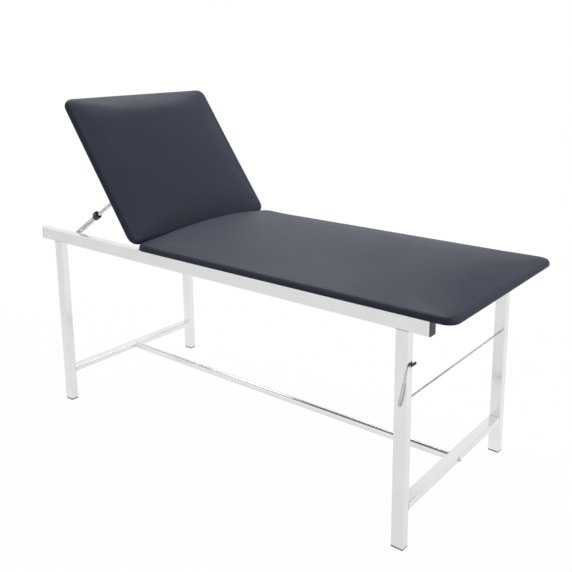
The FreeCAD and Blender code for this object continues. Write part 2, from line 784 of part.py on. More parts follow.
def make_strut_collar(side, middle):
    """The black collar at the tube's mouth, with its thumb lever between two cheeks."""
    name = side + "_strut_collar"
    first = "strut_tube_length - collar_length"
    sleeve = rod(name + "_sleeve", "x", "collar_diameter", "collar_length + collar_lip",
                 (first, middle, 0))
    cheeks = [
        box("%s_cheek_%d" % (name, index),
            ("collar_length * 0.6", "lever_cheek", "lever_top - 1"),
            (first + " + collar_length * 0.4", "%s + %s" % (middle, offset), 0))
        for index, offset in enumerate(("lever_width / 2 + lever_gap",
                                        "-lever_width / 2 - lever_gap - lever_cheek"))
    ]
    seat = rod(name + "_seat", "x", "strut_tube_diameter + 2 * running_gap",
               "collar_length + rest_gap + 1", (first + " - 1", middle, 0))
    throat = rod(name + "_throat", "x", "strut_rod_diameter + 2 * lever_gap",
                 "collar_length + collar_lip + 2", (first + " - 1", middle, 0))
    x = first + " + collar_length * 0.75"
    z = "lever_top - 1 - lever_pivot"
    hole = rod(name + "_hole", "y", "lever_pivot + 2 * running_gap", "collar_diameter",
               (x, middle + " - collar_diameter / 2", z))
    relief = box(name + "_relief", ("collar_length + collar_lip + 2",
                                    "lever_width + 2 * lever_gap", "collar_diameter"),
                 (first + " - 1", middle + " - lever_width / 2 - lever_gap",
                  "strut_tube_diameter / 2 + rest_gap"))
    whole = joined(name + "_body", sleeve, *cheeks)
    finish(without(name, whole, seat, throat, hole, relief), name, strut_turn())

    name = side + "_strut_lever"
    start = middle + " - lever_width / 2"
    pivot = rod(name + "_pivot", "y", "lever_pivot", "lever_width + 2 * lever_gap + 4",
                (x, middle + " - lever_width / 2 - lever_gap - 2", z))
    barrel = rod(name + "_barrel", "y", "lever_pivot + lever_thickness", "lever_width", (x, start, z))
    thumb = doc.addObject("Part::Wedge", name + "_thumb")
    bind(thumb, Xmin="-lever_length * 0.75", Xmax="lever_length * 0.2", Ymin="0",
         Ymax="lever_thickness", X2min="-lever_length * 0.7", X2max="lever_length * 0.12",
         Zmin="0", Zmax="lever_width", Z2min="lever_slope", Z2max="lever_width - lever_slope")
    thumb.Placement = Placement(Vector(), Rotation(Vector(1, 0, 0), 90))
    move(thumb, (x, middle + " + lever_width / 2", "lever_top - lever_thickness"))
    finish(joined(name, pivot, barrel, thumb), name, strut_turn())


def make_strut_rod(side, middle):
    """The sliding rod with ratchet notches, flattened to a tongue at its upper end."""
    name = side + "_strut_rod"
    length = "%.6f" % strut_line()[0]
    bar = rod(name + "_bar", "x", "strut_rod_diameter",
              length + " - tongue_length - strut_rod_end", ("strut_rod_end", middle, 0))
    tongue = box(name + "_tongue",
                 ("tongue_length + strut_rod_diameter / 2", "tongue_width", "tongue_height"),
                 (length + " - tongue_length - strut_rod_diameter / 2",
                  middle + " - tongue_width / 2", "-tongue_height / 2"))
    eye = rod(name + "_eye", "y", "tongue_eye", "tongue_width",
              (length, middle + " - tongue_width / 2", 0))
    hole = rod(name + "_hole", "y", "pin_diameter + 2 * running_gap", "tongue_width + 2",
               (length, middle + " - tongue_width / 2 - 1", 0))
    notches = [
        box("%s_notch_%d" % (name, index),
            ("notch_width", "strut_rod_diameter", "strut_rod_diameter"),
            ("strut_rod_end + notch_pitch * %g" % (0.5 * index + 0.5),
             middle + " - strut_rod_diameter / 2", "notch_floor"))
        for index in range(8)
    ]
    whole = joined(name + "_body", bar, tongue, eye)
    finish(without(name, whole, hole, *notches), name, strut_turn())


def make_strut_clevis(side, middle):
    """Two ears on a foot plate under the backrest board, with a rivet head on each."""
    name = side + "_strut_clevis"
    foot = box(name + "_foot", ("clevis_foot", "clevis_foot_width", "leaf_thickness"),
               ("-strut_pivot - clevis_eye / 2", middle + " - clevis_foot_width / 2",
                "back_lift - leaf_thickness"))
    pieces = [foot]
    heads = []
    inner = "(tongue_width / 2 + tongue_gap)"
    for index, start in enumerate((inner, "-%s - clevis_ear" % inner)):
        y = "%s + %s" % (middle, start)
        pieces.append(rod("%s_eye_%d" % (name, index), "y", "clevis_eye", "clevis_ear",
                          ("-strut_pivot", y, "-strut_drop")))
        pieces.append(box("%s_ear_%d" % (name, index),
                          ("clevis_eye", "clevis_ear", "strut_drop - leaf_thickness + back_lift"),
                          ("-strut_pivot - clevis_eye / 2", y, "-strut_drop")))
        outer = y + " + clevis_ear" if index == 0 else y + " - rivet_head_height"
        heads.append(rod("%s_rivet_%d" % (side, index), "y", "rivet_head",
                         "rivet_head_height", ("-strut_pivot", outer, "-strut_drop")))
    places = [p for p in leaf_screws() if belongs(p, middle, "clevis_foot_width")
              and abs(number(p[0])) > number("leaf_length")]
    holes = plate_holes(name, places)
    finish(without(name, joined(name + "_body", *pieces), *holes), name, back_turn())
    finish(compound(side + "_strut_rivet_set", heads), side + "_strut_rivet", back_turn())


# paper roll rod

def make_roll_rod():
    """A straight rod through the foot legs, bent up outside the near leg to a crank.

    The rod, the crank arm and its tip lie in one plane, so the path is three straight
    runs joined by two quarter bends.
    """
    bend = number("roll_rod_bend")
    radius = number("roll_rod_diameter") / 2
    level = number("roll_rod_level")
    centre_x = number(FOOT_LEG + " + leg_depth / 2")
    clear_x = number("leg_depth / 2 + sleeve_diameter / 2 + rest_gap")
    lean = math.asin(clear_x / number("crank_length"))
    up = Vector(math.sin(lean), 0, math.cos(lean))
    across = Vector(0, 1, 0)
    far_end = number(LEG_INNER + " + tube_wall / 2")
    outside = number("-(frame_width / 2 + roll_washer + 2 * rest_gap)")
    start = Vector(centre_x, far_end, level)
    foot = Vector(centre_x, outside - bend, level)
    elbow = foot + up * number("crank_length")
    tip = elbow + across * number("crank_tip")
    path = rounded_path([start, foot, elbow, tip], bend)
    profile = Part.Wire(Part.makeCircle(radius, start, across))
    swept = path.makePipeShell([profile], True, False)
    item = doc.addObject("Part::Feature", "roll_rod_shape")
    item.Shape = swept
    finish(item, "roll_rod")

    sleeve_start = tip - across * (number("sleeve_length") - 1)
    sleeve = rod("roll_rod_sleeve_body", "y", "sleeve_diameter", "sleeve_length",
                 [str(value) for value in sleeve_start])
    core = rod("roll_rod_sleeve_core", "y", "roll_rod_diameter + 2 * running_gap",
               "sleeve_length - 1 + rest_gap",
               [str(value) for value in sleeve_start - across * number("rest_gap")])
    finish(without("roll_rod_sleeve_bored", sleeve, core), "roll_rod_sleeve")

    washer_start = "-(frame_width / 2 + roll_washer + rest_gap)"
    place = (FOOT_LEG + " + leg_depth / 2", washer_start, "roll_rod_level")
    disc = rod("roll_washer_disc", "y", "roll_washer_diameter", "roll_washer", place)
    hole = rod("roll_washer_hole", "y", "roll_rod_diameter + 2 * running_gap",
               "roll_washer * 3", (place[0], washer_start + " - roll_washer", place[2]))
    finish(without("roll_washer_ring", disc, hole), "roll_rod_washer")


def rounded_path(points, bend):
    """Straight runs through the points, joined by quarter arcs of the bend radius."""
    edges = []
    last = points[0]
    for before, corner, after in zip(points, points[1:], points[2:]):
        into = (corner - before).normalize()
        out = (after - corner).normalize()
        enter = corner - into * bend
        leave = corner + out * bend
        middle = enter + out * bend + (into - out).normalize() * bend
        edges.append(Part.LineSegment(last, enter).toShape())
        edges.append(Part.Arc(enter, middle, leave).toShape())
        last = leave
    edges.append(Part.LineSegment(last, points[-1]).toShape())
    return Part.Wire(edges)


def check_and_write():
    doc.recompute()
    for item in doc.Objects:
        if "Invalid" in item.State or "Error" in item.State:
            raise RuntimeError("%s failed: %s" % (item.Name, item.State))
    for item in finished:
        shape = item.Shape
        if shape.isNull() or not shape.isValid() or not shape.Solids:
            raise RuntimeError("%s has no valid solid" % item.Label)
    for item in finished:
        item.Shape.exportStep(os.path.join("parts", item.Label + ".step"))
    print("%d sub-parts written" % len(finished))


make_rails()
make_legs()
make_crossbars()
make_cross_tubes()
make_seat()
make_back()
make_hinges()
make_struts()
make_roll_rod()
check_and_write()
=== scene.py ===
import json
import math

import bmesh
import bpy
import numpy as np
from mathutils import Matrix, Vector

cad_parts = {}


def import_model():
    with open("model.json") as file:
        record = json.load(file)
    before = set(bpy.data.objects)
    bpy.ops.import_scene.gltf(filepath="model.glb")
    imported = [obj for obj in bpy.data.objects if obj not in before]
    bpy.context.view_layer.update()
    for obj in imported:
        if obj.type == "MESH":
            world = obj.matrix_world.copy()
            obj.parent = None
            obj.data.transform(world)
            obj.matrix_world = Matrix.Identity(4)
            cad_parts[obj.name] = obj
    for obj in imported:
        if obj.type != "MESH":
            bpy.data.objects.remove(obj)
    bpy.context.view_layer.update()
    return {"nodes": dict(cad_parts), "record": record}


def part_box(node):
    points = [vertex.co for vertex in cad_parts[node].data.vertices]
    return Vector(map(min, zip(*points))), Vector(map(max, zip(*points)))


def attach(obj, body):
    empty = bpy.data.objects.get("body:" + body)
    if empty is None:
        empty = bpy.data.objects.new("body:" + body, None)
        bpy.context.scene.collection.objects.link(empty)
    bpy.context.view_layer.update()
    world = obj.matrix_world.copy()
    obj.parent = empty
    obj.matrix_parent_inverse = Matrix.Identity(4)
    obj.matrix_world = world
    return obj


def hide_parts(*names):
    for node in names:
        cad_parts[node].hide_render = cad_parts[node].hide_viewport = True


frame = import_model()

SCENE = bpy.context.scene
RECORD = frame["record"]
JOINTS = {joint["name"]: joint for joint in RECORD["behaviour"]["joints"]}
MM = 0.001


# The camera of the photograph, solved from the couch's own right angles.
CAMERA_PLACE = (1.6915, -2.0039, 1.4095)
CAMERA_TURN = math.radians(37.6)
CAMERA_DIP = math.radians(12.1)
CAMERA_ROLL = math.radians(-0.2)
FRAME_PIXELS = 572
FOCAL_PIXELS = 754.3
AXIS_PIXEL = (305, 205)
SENSOR = 36.0
CLIP_END = 60

# The floor, in shares of full white. The camera sees FLOOR_WHITE at the couch and full white
# beyond, over the distances in FLOOR_FADE. Metal mirrors FLOOR_MIRRORED: the first in front
# of the couch and the second under and behind it, over the places along Y in FLOOR_TURN.
FLOOR_WHITE = 0.985
FLOOR_FADE = (1.2, 3.5)
FLOOR_MIRRORED = (0.68, 0.82)
FLOOR_TURN = (-0.6, -0.2)
FLOOR_GREY = (0.85, 0.85, 0.85)
FLOOR_REACH = 14.0

# The surroundings. EVEN_LIGHT falls from all round. Metal mirrors MIRRORED, and BAND_DARK in
# a band that starts and stops over these sines of the elevation.
EVEN_LIGHT = 0.16
MIRRORED = 0.95
BAND_DARK = 0.12
BAND_START = (0.66, 0.74)
BAND_STOP = (0.90, 0.97)

# Lamps: metres and watts.
BACK_LAMP = {"place": (-1.5, 1.0, 4.2), "target": (0.2, 0, 0.7), "size": (3.2, 2.6), "power": 130}
FRONT_LAMP = {"place": (3.4, 0.6, 3.0), "target": (-0.5, 0, 0.9), "size": (2.4, 2.4), "power": 62}

# Pads, beside what their solids give. Fades are at the head end and the foot end.
MARGIN = 26 * MM
MARGIN_DEPTH = 0.4 * MM
CLOSING = 1.3 * MARGIN
PLAN_CORNER = 38 * MM
RIM_ROUND = 12 * MM
SWELL_CAP = 3 * MM
PAD_EDGE = 21 * MM
UNDER_ROUND = 3.5 * MM
SIDE_SHARES = (0.75, 0.45)
CROWN_POWER = 2.1
SEAT_CROWN = 35 * MM
SEAT_FADES = (50 * MM, 210 * MM)
BACK_CROWN = 29 * MM
BACK_FADES = (120 * MM, 140 * MM)
BACK_LIFT = 0.5 * MM

# The pads' grid: lines that crowd towards the rim in a border band, even steps between.
BORDER_BAND = 55 * MM
BORDER_LINES = 9
BORDER_CROWDING = 1.5
GRID_STEP = 13 * MM

BACK_ANGLE = math.radians(-JOINTS["back_tilt"]["range_deg"][0])
HINGE = np.array(JOINTS["back_tilt"]["pos_m"])

# The cloth step that fills the pads.
CLOTH_FRAMES = 16
CLOTH_PRESSURE = 1.6
CLOTH_STIFFNESS = 60
CLOTH_BENDING = 25
CLOTH_QUALITY = 4

# Weld beads. WELD_CORNER is the power that rounds their path's corners.
WELD_RADIUS = 1.0 * MM
WELD_RIPPLE = 3 * MM
RIPPLE_DEPTH = 0.12
WELD_CORNER = 0.12
WELD_POINTS = 96
WELD_SIDES = 8

# Pebbled grain. The cells' borders are bent by a noise. A pebble rises from its border to
# PEBBLE_TOP and rounds off over PEBBLE_ROUND, and a finer noise has its share of the height.
BORDER_BEND = 0.0016
BORDER_BEND_SCALE = 260.0
PEBBLE_TOP = 0.22
PEBBLE_ROUND = 0.12
FINE_SHARE = 0.12
MASK_GAIN = 4.5

# Colours. A pair gives the two ends of a mask. Handled patches of the slate go HANDLED_SHARE
# of the way to their own colour.
SLATE = ((0.0195, 0.023, 0.040), (0.036, 0.042, 0.069))
SLATE_HANDLED = (0.039, 0.0455, 0.075)
HANDLED_SHARE = 0.35
CHROME = ((0.82, 0.82, 0.825), (0.88, 0.88, 0.88))
DULL_PLATING = ((0.50, 0.50, 0.51), (0.68, 0.68, 0.69))
BRACKET_PLATING = ((0.42, 0.42, 0.43), (0.60, 0.60, 0.61))
BOLT_PLATING = ((0.50, 0.50, 0.52), (0.70, 0.70, 0.71))
BLACK_MOULDING = ((0.028, 0.028, 0.031), (0.045, 0.045, 0.05))
GREY_MOULDING = ((0.50, 0.50, 0.51), (0.60, 0.60, 0.61))
BIRCH = ((0.30, 0.25, 0.19), (0.50, 0.43, 0.34))

# Stretched noise: polishing lines along a tube and across it, and wood fibre along X, Y, Z.
LINES_ALONG = 2.0
LINES_ACROSS = 90.0
FIBRE = (3.0, 60.0, 60.0)

# Tubes and rods whose plating is duller than the frame's.
DULL_TUBES = ("near_strut_tube", "far_strut_tube", "near_strut_rod", "far_strut_rod", "roll_rod")


def corners(node):
    """Lowest and highest corner of a piece of the frame."""
    low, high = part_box(node)
    return np.array(low), np.array(high)


# meshes from arrays

def mesh_object(name, points, faces, smooth=True):
    """A new object at the origin from an array of points and lists of corner numbers."""
    mesh = bpy.data.meshes.new(name)
    mesh.from_pydata(points.reshape(-1, 3).tolist(), [], [list(face) for face in faces])
    mesh.validate()
    mesh.polygons.foreach_set("use_smooth", np.full(len(mesh.polygons), smooth))
    mesh.update()
    piece = bpy.data.objects.new(name, mesh)
    SCENE.collection.objects.link(piece)
    return piece


def outward(piece):
    """Turn every face of a closed piece outwards."""
    shape = bmesh.new()
    shape.from_mesh(piece.data)
    bmesh.ops.recalc_face_normals(shape, faces=shape.faces)
    shape.to_mesh(piece.data)
    shape.free()
    piece.data.update()


def vertices(piece):
    """A piece's points as an array of rows."""
    flat = np.empty(len(piece.data.vertices) * 3)
    piece.data.vertices.foreach_get("co", flat)
    return flat.reshape(-1, 3)


def set_vertices(piece, points):
    """Put a piece's points where the rows of an array say."""
    piece.data.vertices.foreach_set("co", points.reshape(-1))
    piece.data.update()


def quads(rows, columns, wrap_rows=False, wrap_columns=False):
    """Corner numbers of the quads between neighbouring points of a rows x columns grid."""
    row = np.arange(rows if wrap_rows else rows - 1)
    column = np.arange(columns if wrap_columns else columns - 1)
    r, c = np.meshgrid(row, column, indexing="ij")
    below, right = (r + 1) % rows, (c + 1) % columns
    stack = np.stack([r * columns + c, r * columns + right,
                      below * columns + right, below * columns + c], axis=-1)
    return stack.reshape(-1, 4)


# pads

def onto_rounded(x, y, half_x, half_y, corner):
    """Pull a rectangle's points onto the rounded rectangle inside it.

    In each corner square the offset q from the arc's centre becomes q * max(q) / |q|, which
    turns the square into a quarter disc and leaves the two straight sides where they were.
    """
    qx = np.clip(np.abs(x) - (half_x - corner), 0, None)
    qy = np.clip(np.abs(y) - (half_y - corner), 0, None)
    length = np.hypot(qx, qy)
    scale = np.where(length > 0, np.maximum(qx, qy) / np.where(length > 0, length, 1), 1)
    inside_x = np.sign(x) * (np.minimum(np.abs(x), half_x - corner) + qx * scale)
    inside_y = np.sign(y) * (np.minimum(np.abs(y), half_y - corner) + qy * scale)
    return inside_x, inside_y


def depth_inside(x, y, half_x, half_y, corner):
    """Distance from a point to the rounded rectangle's outline, measured inwards."""
    qx = np.abs(x) - (half_x - corner)
    qy = np.abs(y) - (half_y - corner)
    outside = np.hypot(np.clip(qx, 0, None), np.clip(qy, 0, None))
    return corner - outside - np.clip(np.maximum(qx, qy), None, 0)


def pad_top(x, y, half_x, half_y, edge, crown, fades):
    """Height of a pad's top: a quarter round at the rim and a crown that fades to the edges.

    height = edge + crown * head * foot * (1 - |y / b|^CROWN_POWER) - rim. Over its fade
    length f each end rises by 1 - (1 - s / f)^2 with the distance s from it. The rim drops by
    r - sqrt(r^2 - (r - d)^2) while the depth d from the outline is under its radius r.
    """
    depth = np.clip(depth_inside(x, y, half_x, half_y, PLAN_CORNER), 0, RIM_ROUND)
    rim = RIM_ROUND - np.sqrt(np.clip(RIM_ROUND ** 2 - (RIM_ROUND - depth) ** 2, 0, None))
    head = 1 - (1 - np.clip((x + half_x) / fades[0], 0, 1)) ** 2
    foot = 1 - (1 - np.clip((half_x - x) / fades[1], 0, 1)) ** 2
    across = 1 - np.abs(y / half_y) ** CROWN_POWER
    return edge + crown * head * foot * across - rim


def spread(half):
    """Places of the grid's lines from -half to half, close together near both ends."""
    near = half - np.linspace(0, 1, BORDER_LINES) ** BORDER_CROWDING * BORDER_BAND
    inner = half - BORDER_BAND
    count = max(int(2 * inner / GRID_STEP), 4)
    middle = np.linspace(-inner, inner, count)[1:-1]
    return np.concatenate([-near, middle, near[::-1]])


def outline_numbers(rows, columns):
    """Numbers of a grid's border points, in order round the grid."""
    grid = np.arange(rows * columns).reshape(rows, columns)
    return np.concatenate([grid[:-1, 0], grid[-1, :-1], grid[:0:-1, -1], grid[0, :0:-1]])


def pad_mesh(name, length, width, edge, crown, fades):
    """A closed upholstered pad about its own middle, with its underside at Z = 0.

    The top is the height function above. Its border runs down the side, turns under the
    board in a small round, lies along the board as a margin and closes inside the board.
    """
    half_x, half_y = length / 2, width / 2
    grid_x, grid_y = np.meshgrid(spread(half_x), spread(half_y), indexing="ij")
    x, y = onto_rounded(grid_x, grid_y, half_x, half_y, PLAN_CORNER)
    z = pad_top(x, y, half_x, half_y, edge, crown, fades)
    rows, columns = x.shape
    border = outline_numbers(rows, columns)
    rim_x, rim_y = x.reshape(-1)[border], y.reshape(-1)[border]
    arc_x = np.clip(np.abs(rim_x) - (half_x - PLAN_CORNER), 0, None) * np.sign(rim_x)
    arc_y = np.clip(np.abs(rim_y) - (half_y - PLAN_CORNER), 0, None) * np.sign(rim_y)
    on_side_x = np.isclose(np.abs(rim_x), half_x) & (np.abs(arc_y) < 1e-9)
    on_side_y = np.isclose(np.abs(rim_y), half_y) & (np.abs(arc_x) < 1e-9)
    normal_x = np.where(on_side_x, np.sign(rim_x), np.where(on_side_y, 0, arc_x))
    normal_y = np.where(on_side_y, np.sign(rim_y), np.where(on_side_x, 0, arc_y))
    size = np.hypot(normal_x, normal_y)
    normal_x, normal_y = normal_x / size, normal_y / size

    # each ring: inset from the outline, and height
    rings = [(0.0, (edge - RIM_ROUND) * share) for share in SIDE_SHARES]
    rings += [(UNDER_ROUND * (1 - math.cos(angle)),
               UNDER_ROUND * (1 - math.sin(angle)) - MARGIN_DEPTH)
              for angle in np.radians([0, 30, 60, 90])]
    rings += [(MARGIN * 0.5, -MARGIN_DEPTH), (MARGIN, -MARGIN_DEPTH)]
    levels = [np.stack([rim_x - inset * normal_x, rim_y - inset * normal_y,
                        np.full(len(border), height)], axis=-1) for inset, height in rings]
    closing = 1 - CLOSING / np.array([half_x, half_y])
    under = np.stack([x * closing[0], y * closing[1], np.full(x.shape, MARGIN_DEPTH)], axis=-1)
    points = np.concatenate([np.stack([x, y, z], axis=-1).reshape(-1, 3)] + levels
                            + [under.reshape(-1, 3)])

    faces = [quads(rows, columns)]
    count = len(border)
    first_under = rows * columns + len(rings) * count
    ring_numbers = [border] + [rows * columns + k * count + np.arange(count)
                               for k in range(len(rings))] + [first_under + border]
    following = np.roll(np.arange(count), -1)
    for upper, lower in zip(ring_numbers, ring_numbers[1:]):
        faces.append(np.stack([upper, upper[following], lower[following], lower], axis=-1))
    faces.append(first_under + quads(rows, columns)[:, ::-1])
    piece = mesh_object(name, points, np.concatenate(faces).tolist())
    outward(piece)
    held = piece.vertex_groups.new(name="held")
    held.add(border.tolist() + list(range(rows * columns, len(points))), 1.0, "REPLACE")
    return piece


def swell(piece):
    """Let pressure fill the pad as cloth, held under its board, and cap how far it moves."""
    before = vertices(piece)
    cloth = piece.modifiers.new("filling", "CLOTH")
    cloth.settings.use_pressure = True
    cloth.settings.uniform_pressure_force = CLOTH_PRESSURE
    cloth.settings.effector_weights.gravity = 0
    cloth.settings.tension_stiffness = CLOTH_STIFFNESS
    cloth.settings.compression_stiffness = CLOTH_STIFFNESS
    cloth.settings.bending_stiffness = CLOTH_BENDING
    cloth.settings.vertex_group_mass = "held"
    cloth.settings.quality = CLOTH_QUALITY
    SCENE.frame_start, SCENE.frame_end = 1, CLOTH_FRAMES
    cloth.point_cache.frame_start, cloth.point_cache.frame_end = 1, CLOTH_FRAMES
    for step in range(1, CLOTH_FRAMES + 1):
        SCENE.frame_set(step)
    shaped = piece.evaluated_get(bpy.context.evaluated_depsgraph_get())
    after = np.empty(len(piece.data.vertices) * 3)
    shaped.data.vertices.foreach_get("co", after)
    piece.modifiers.remove(cloth)
    SCENE.frame_set(1)
    moved = after.reshape(-1, 3) - before
    length = np.linalg.norm(moved, axis=1, keepdims=True)
    set_vertices(piece, before + moved * np.minimum(1, SWELL_CAP / np.maximum(length, 1e-9)))


def smooth_more(piece):
    """One level of subdivision, the same on screen and in the render."""
    finer = piece.modifiers.new("smooth", "SUBSURF")
    finer.levels = finer.render_levels = 1


def placed(piece, place, angle=0.0):
    """Turn a piece's points about Y by angle, then move them, with the object at the origin."""
    c, s = math.cos(angle), math.sin(angle)
    turn = np.array([[c, 0, s], [0, 1, 0], [-s, 0, c]])
    set_vertices(piece, vertices(piece) @ turn.T + np.asarray(place))


# shader node groups

def new_group(name, inputs, outputs):
    """An empty node group with named sockets, and the sockets to work from and to."""
    group = bpy.data.node_groups.new(name, "ShaderNodeTree")
    for label, kind, value in inputs:
        socket = group.interface.new_socket(label, in_out="INPUT", socket_type=kind)
        socket.default_value = value
    for label, kind in outputs:
        group.interface.new_socket(label, in_out="OUTPUT", socket_type=kind)
    start = group.nodes.new("NodeGroupInput")
    end = group.nodes.new("NodeGroupOutput")
    return group, start.outputs, end.inputs


def node(tree, kind, inputs=None, **values):
    """Add a node, set its properties, and link or set its inputs by name or number."""
    item = tree.nodes.new(kind)
    for name, value in values.items():
        setattr(item, name, value)
    for socket, source in (inputs or {}).items():
        if isinstance(source, bpy.types.NodeSocket):
            tree.links.new(source, item.inputs[socket])
        else:
            item.inputs[socket].default_value = source
    return item


def math_node(tree, operation, *terms):
    """The result of one operation on one to three sockets or numbers."""
    return node(tree, "ShaderNodeMath", dict(enumerate(terms)), operation=operation).outputs[0]


def ramp(tree, value, start, stop, low=0.0, high=1.0, interpolation="LINEAR"):
    """Low before start, high after stop, and a steady or smooth rise from one to the other."""
    return node(tree, "ShaderNodeMapRange",
                {"Value": value, "From Min": start, "From Max": stop, "To Min": low,
                 "To Max": high}, interpolation_type=interpolation).outputs[0]


def object_place(tree):
    """Object coordinates, which go with a piece when its body moves."""
    return tree.nodes.new("ShaderNodeTexCoord").outputs["Object"]


def grain_group():
    """Pebbled grain: cells of uneven size whose borders sink, with a finer noise on top."""
    number = "NodeSocketFloat"
    group, given, out = new_group(
        "pebbled_grain",
        [("Cell", number, 1.4), ("Fine", number, 0.3), ("Depth", number, 1.0)],
        [("Height", number), ("Mask", number)])
    place = object_place(group)
    wobble = node(group, "ShaderNodeTexNoise", {"Vector": place, "Scale": BORDER_BEND_SCALE,
                                                "Detail": 2.0})
    bent = node(group, "ShaderNodeMix", {"Factor": BORDER_BEND, "A": place,
                                         "B": wobble.outputs["Color"]},
                data_type="VECTOR")
    per_metre = math_node(group, "DIVIDE", 1000.0, given["Cell"])
    cells = node(group, "ShaderNodeTexVoronoi", {"Vector": bent.outputs[1], "Scale": per_metre},
                 feature="DISTANCE_TO_EDGE")
    lift = math_node(group, "SMOOTH_MIN", cells.outputs["Distance"], PEBBLE_TOP, PEBBLE_ROUND)
    scale = math_node(group, "DIVIDE", 1000.0, given["Fine"])
    fine = node(group, "ShaderNodeTexNoise", {"Vector": place, "Scale": scale, "Detail": 3.0})
    both = math_node(group, "MULTIPLY_ADD", fine.outputs[0], FINE_SHARE, lift)
    group.links.new(math_node(group, "MULTIPLY", both, given["Depth"]), out["Height"])
    group.links.new(math_node(group, "MULTIPLY", lift, MASK_GAIN), out["Mask"])
    return group


def handling_group():
    """Soft patches from handling and cleaning, as a mask and as a change of roughness."""
    number = "NodeSocketFloat"
    group, given, out = new_group(
        "handling_marks",
        [("Scale", number, 6.0), ("Roughness", number, 0.3), ("Change", number, 0.1)],
        [("Roughness", number), ("Mask", number)])
    place = object_place(group)
    cloud = node(group, "ShaderNodeTexNoise", {"Vector": place, "Scale": given["Scale"],
                                               "Detail": 5.0, "Roughness": 0.6})
    soft = ramp(group, cloud.outputs[0], 0.35, 0.7)
    signed = math_node(group, "SUBTRACT", soft, 0.5)
    rough = math_node(group, "MULTIPLY_ADD", signed, given["Change"], given["Roughness"])
    group.links.new(rough, out["Roughness"])
    group.links.new(soft, out["Mask"])
    return group


def drawn_group():
    """Fine lines of a drawn or polished tube: noise stretched along one direction."""
    number = "NodeSocketFloat"
    group, given, out = new_group(
        "polishing_lines",
        [("Stretch", "NodeSocketVector", (1.0, 60.0, 60.0)), ("Scale", number, 30.0)],
        [("Height", number)])
    place = object_place(group)
    pulled = node(group, "ShaderNodeVectorMath", {0: place, 1: given["Stretch"]},
                  operation="MULTIPLY")
    lines = node(group, "ShaderNodeTexNoise", {"Vector": pulled.outputs[0],
                                               "Scale": given["Scale"], "Detail": 3.0})
    group.links.new(lines.outputs[0], out["Height"])
    return group


GRAIN = grain_group()
HANDLING = handling_group()
DRAWN = drawn_group()


def start_material(name, **values):
    """A material with one surface shader whose plain values are set on its own sockets."""
    material = bpy.data.materials.new(name)
    material.use_nodes = True
    tree = material.node_tree
    surface = tree.nodes["Principled BSDF"]
    for label, value in values.items():
        surface.inputs[label.replace("_", " ")].default_value = value
    return material, tree, surface


def use_group(tree, group, **values):
    """A group's node in a material, with its plain inputs set by name."""
    item = tree.nodes.new("ShaderNodeGroup")
    item.node_tree = group
    for label, value in values.items():
        item.inputs[label].default_value = value
    return item


def bumped(tree, surface, height, strength, distance):
    """Bump the surface shader by a height."""
    bump = node(tree, "ShaderNodeBump", {"Height": height, "Strength": strength,
                                         "Distance": distance})
    tree.links.new(bump.outputs["Normal"], surface.inputs["Normal"])


def mixed_colour(tree, mask, pair):
    """Between a pair of colours, by a mask."""
    mix = node(tree, "ShaderNodeMix", {"Factor": mask}, data_type="RGBA")
    mix.inputs["A"].default_value = (*pair[0], 1)
    mix.inputs["B"].default_value = (*pair[1], 1)
    return mix.outputs["Result"]


def handled(tree, surface, **values):
    """Vary the surface's roughness with handling marks, and return their mask."""
    marks = use_group(tree, HANDLING, **values)
    tree.links.new(marks.outputs["Roughness"], surface.inputs["Roughness"])
    return marks.outputs["Mask"]


def leatherette():
    """Slate coated upholstery: pebbled grain, paler on the grain's tops, soft sheen."""
    material, tree, surface = start_material("slate_leatherette", Coat_Weight=0.02,
                                             Coat_Roughness=0.4, Specular_IOR_Level=0.21)
    grain = use_group(tree, GRAIN, Cell=1.5, Fine=0.35, Depth=1.0)
    mask = handled(tree, surface, Scale=5.0, Roughness=0.53, Change=0.08)
    base = mixed_colour(tree, grain.outputs["Mask"], SLATE)
    faint = math_node(tree, "MULTIPLY", mask, HANDLED_SHARE)
    soft = node(tree, "ShaderNodeMix", {"Factor": faint}, data_type="RGBA")
    tree.links.new(base, soft.inputs["A"])
    soft.inputs["B"].default_value = (*SLATE_HANDLED, 1)
    tree.links.new(soft.outputs["Result"], surface.inputs["Base Color"])
    bumped(tree, surface, grain.outputs["Height"], strength=0.35, distance=0.0004)
    return material


def chrome(name, stretch):
    """Polished plating over drawn tube, with faint lines and wiped patches."""
    material, tree, surface = start_material(name, Metallic=1.0)
    mask = handled(tree, surface, Scale=9.0, Roughness=0.2, Change=0.1)
    tree.links.new(mixed_colour(tree, mask, CHROME), surface.inputs["Base Color"])
    lines = use_group(tree, DRAWN, Stretch=stretch, Scale=22.0)
    bumped(tree, surface, lines.outputs["Height"], strength=0.02, distance=0.0002)
    return material


def plated_steel(name, pair, roughness):
    """Zinc plating: pale and dark flecks over pressed steel."""
    material, tree, surface = start_material(name, Metallic=1.0)
    mask = handled(tree, surface, Scale=70.0, Roughness=roughness, Change=0.15)
    tree.links.new(mixed_colour(tree, mask, pair), surface.inputs["Base Color"])
    fleck = use_group(tree, GRAIN, Cell=0.8, Fine=0.2, Depth=0.4)
    bumped(tree, surface, fleck.outputs["Height"], strength=0.1, distance=0.0001)
    return material


def moulded_plastic(name, pair):
    """Moulded plastic with a fine spark-eroded grain."""
    material, tree, surface = start_material(name)
    mask = handled(tree, surface, Scale=30.0, Roughness=0.42, Change=0.12)
    tree.links.new(mixed_colour(tree, mask, pair), surface.inputs["Base Color"])
    grain = use_group(tree, GRAIN, Cell=0.5, Fine=0.15, Depth=0.8)
    bumped(tree, surface, grain.outputs["Height"], strength=0.2, distance=0.0001)
    return material


